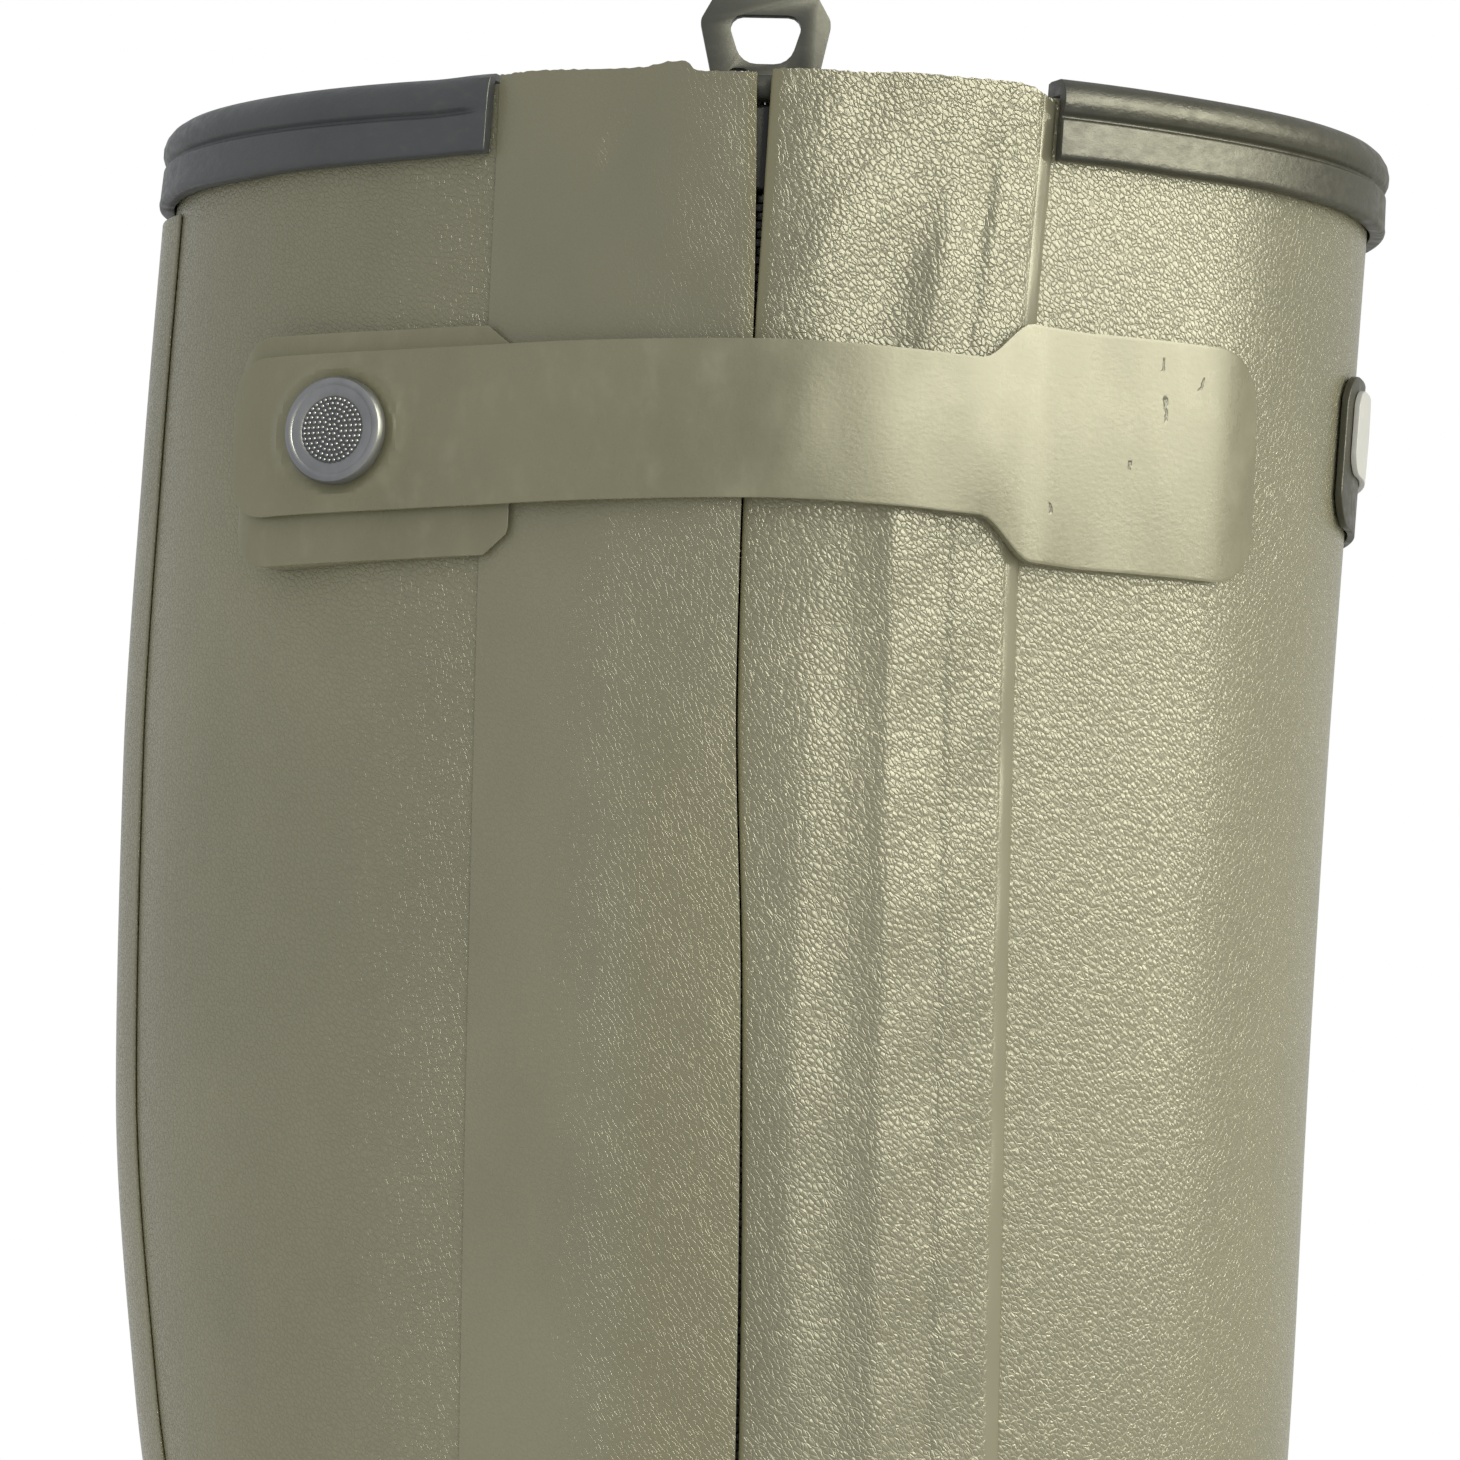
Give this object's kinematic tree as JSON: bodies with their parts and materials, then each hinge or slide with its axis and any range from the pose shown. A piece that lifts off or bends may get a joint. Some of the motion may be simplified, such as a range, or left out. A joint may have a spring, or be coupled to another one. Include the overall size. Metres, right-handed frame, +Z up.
{
  "type": "wellington boot",
  "caption": "Right wellington boot: grained rubber upper with a neoprene lining, a side zip under cover flaps, a studded strap across the zip and a lugged sole.",
  "frame": {"origin": "middle of the boot's bounding box, on the floor under the sole", "axes": "+X to the toe, +Y to the inner (medial) side, +Z up the leg"},
  "size_m": [0.3008, 0.1228, 0.4116],
  "materials": {
    "olive_rubber": "matt, pebbled grain",
    "olive_satin": "smooth satin",
    "dark_rubber": "smooth satin",
    "sole_rubber": "matt",
    "lining": "knit over neoprene",
    "zip_tape": "woven",
    "zip_chain": "moulded",
    "dark_trim": "moulded, satin",
    "stud_metal": "dark gunmetal",
    "badge_face": "plain"
  },
  "bodies": {
    "boot": {"outsole": "sole_rubber", "insole": "lining", "upper": "olive_rubber", "collar_band": "dark_rubber", "zip_flap_front": "olive_rubber", "zip_flap_back": "olive_rubber", "zip_tape_front": "zip_tape", "zip_tape_back": "zip_tape", "zip_chain_front": "zip_chain", "zip_chain_back": "zip_chain", "zip_slider": "dark_trim", "strap": "olive_satin", "strap_patch": "olive_satin", "stud_cap": "stud_metal", "badge_plate": "dark_rubber", "badge_panel": "badge_face", "back_strip": "olive_rubber"},
    "pull_tab": {"zip_pull_tab": "dark_trim"}
  },
  "joints": [
    {"name": "pull_tab_hinge", "type": "hinge", "parent": "boot", "child": "pull_tab", "pos_m": [-0.06788, -0.05483, 0.39932], "axis": [0.9998, 0, -0.0204], "range_deg": [-90, 24]}
  ]
}
